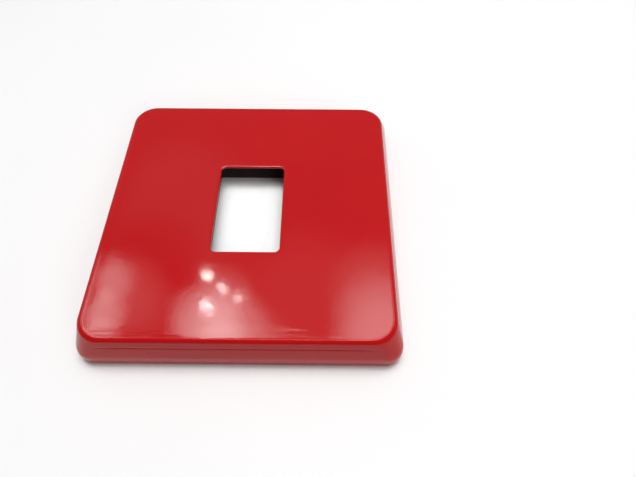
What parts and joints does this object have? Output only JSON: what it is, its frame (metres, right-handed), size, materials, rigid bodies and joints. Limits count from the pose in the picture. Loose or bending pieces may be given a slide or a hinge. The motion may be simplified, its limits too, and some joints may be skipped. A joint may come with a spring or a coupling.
{
  "type": "manual_call_point",
  "caption": "Slim square wall call point: pressed red cover with a portrait window over a hinged press plate, trip slider, lever switch and wiring terminals",
  "frame": {"origin": "centre of the back plane, which is the plane of the cover's rim and of the tape liners", "axes": "+Z out of the front face, +Y to the top edge on the wall, +X to the right seen from the front"},
  "size_m": [0.115, 0.115, 0.015],
  "materials": {
    "red_paint": "glossy stoved red enamel on pressed steel, fine orange peel",
    "base_black": "fine spark-eroded moulded black plastic",
    "carrier_black": "matt black moulded plastic",
    "face_white": "satin white moulded plastic",
    "slider_grey": "grey acetal, slightly waxy",
    "flag_yellow": "yellow moulded plastic",
    "spring_steel": "bright spring steel",
    "zinc_steel": "zinc plated steel, passivated",
    "foam_cream": "cream foam adhesive tape",
    "liner_paper": "siliconised bluish white release paper",
    "board_green": "green solder mask on glass laminate",
    "switch_black": "black thermoset moulding",
    "switch_lid": "dark red moulded switch lid",
    "plunger_red": "red moulded button",
    "tin_brass": "tinned brass",
    "terminal_green": "green polyamide",
    "resistor_blue": "pale blue lacquer",
    "rubber_black": "soft black rubber"
  },
  "bodies": {
    "base": {"base_plate": "base_black", "cover_clips": "spring_steel", "fixing_tape_strips": "foam_cream", "tape_liners": "liner_paper", "hinge_pin": "zinc_steel", "return_spring": "spring_steel", "slider_screws": "zinc_steel", "detent_spring": "spring_steel", "detent_screw": "zinc_steel", "circuit_board": "board_green", "board_screws": "zinc_steel", "microswitch_case": "switch_black", "microswitch_lid": "switch_lid", "lever_pin": "zinc_steel", "contact_blade": "tin_brass", "switch_pins": "tin_brass", "terminal_block": "terminal_green", "terminal_clamps": "zinc_steel", "terminal_screws": "zinc_steel", "terminal_pins": "tin_brass", "resistor_bodies": "resistor_blue", "resistor_leads": "tin_brass", "cable_grommet": "rubber_black"},
    "cover": {"cover": "red_paint"},
    "press_plate": {"press_plate_carrier": "carrier_black", "operating_face": "face_white"},
    "slider": {"trip_slider": "slider_grey", "alarm_flag": "flag_yellow"},
    "switch_lever": {"microswitch_lever": "spring_steel"},
    "switch_plunger": {"microswitch_plunger": "plunger_red"}
  },
  "joints": [
    {"name": "cover_lift", "type": "slide", "parent": "base", "child": "cover", "axis": [0, 0, 1], "range_m": [0, 0.045]},
    {"name": "plate_press", "type": "hinge", "parent": "base", "child": "press_plate", "pos_m": [0, 0.033, 0.0037], "axis": [1, 0, 0], "range_deg": [0, 1.79], "deforming": ["return_spring"]},
    {"name": "slider_travel", "type": "slide", "parent": "base", "child": "slider", "axis": [-1, 0, 0], "range_m": [0, 0.00347], "deforming": ["detent_spring"]},
    {"name": "lever_swing", "type": "hinge", "parent": "base", "child": "switch_lever", "pos_m": [-0.0413, -0.0432, 0.008], "axis": [0, 0, 1], "range_deg": [0, 13.35]},
    {"name": "plunger_travel", "type": "slide", "parent": "base", "child": "switch_plunger", "axis": [-1, 0, 0], "range_m": [0, 0.00119], "deforming": ["contact_blade"]}
  ],
  "couplings": [
    {"joint": "slider_travel", "follows": "plate_press", "m_per_rad": 0.11085},
    {"joint": "lever_swing", "follows": "plate_press", "ratio": 7.4574},
    {"joint": "plunger_travel", "follows": "plate_press", "m_per_rad": 0.037977}
  ]
}
